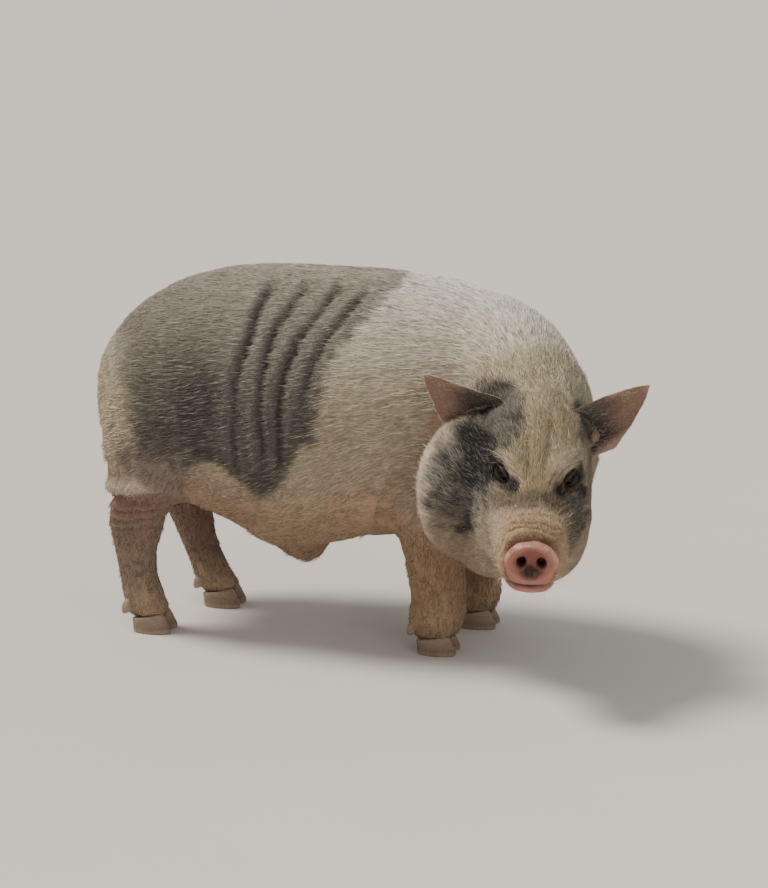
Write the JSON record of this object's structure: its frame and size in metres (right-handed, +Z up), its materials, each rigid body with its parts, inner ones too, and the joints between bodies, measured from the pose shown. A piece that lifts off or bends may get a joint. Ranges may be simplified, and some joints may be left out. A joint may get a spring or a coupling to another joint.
{
  "type": "domestic pig",
  "caption": "Life-size still model of a pot-bellied domestic pig, standing, its lowered head turned to its right.",
  "frame": {"origin": "on the floor under the middle of the model's bounding box", "axes": "+X forward along the trunk, +Y to the animal's left, +Z up"},
  "size_m": [0.7978, 0.5176, 0.514],
  "materials": {
    "cream skin": "short haired skin, matte",
    "pink skin": "thin bare skin, satin",
    "dark eye": "wet, glossy",
    "horn": "dusty horn, matte"
  },
  "bodies": {
    "root": {"torso": "cream skin", "neck": "cream skin", "head": "cream skin", "leg_front_left": "cream skin", "leg_front_right": "cream skin", "leg_hind_left": "cream skin", "leg_hind_right": "cream skin", "ear_left": "pink skin", "ear_right": "pink skin", "eye_left": "dark eye", "eye_right": "dark eye", "tail": "cream skin", "hoof_front_left_outer": "horn", "dewclaw_front_left_outer": "horn", "hoof_front_left_inner": "horn", "dewclaw_front_left_inner": "horn", "hoof_front_right_outer": "horn", "dewclaw_front_right_outer": "horn", "hoof_front_right_inner": "horn", "dewclaw_front_right_inner": "horn", "hoof_hind_left_outer": "horn", "dewclaw_hind_left_outer": "horn", "hoof_hind_left_inner": "horn", "dewclaw_hind_left_inner": "horn", "hoof_hind_right_outer": "horn", "dewclaw_hind_right_outer": "horn", "hoof_hind_right_inner": "horn", "dewclaw_hind_right_inner": "horn"}
  },
  "joints": []
}
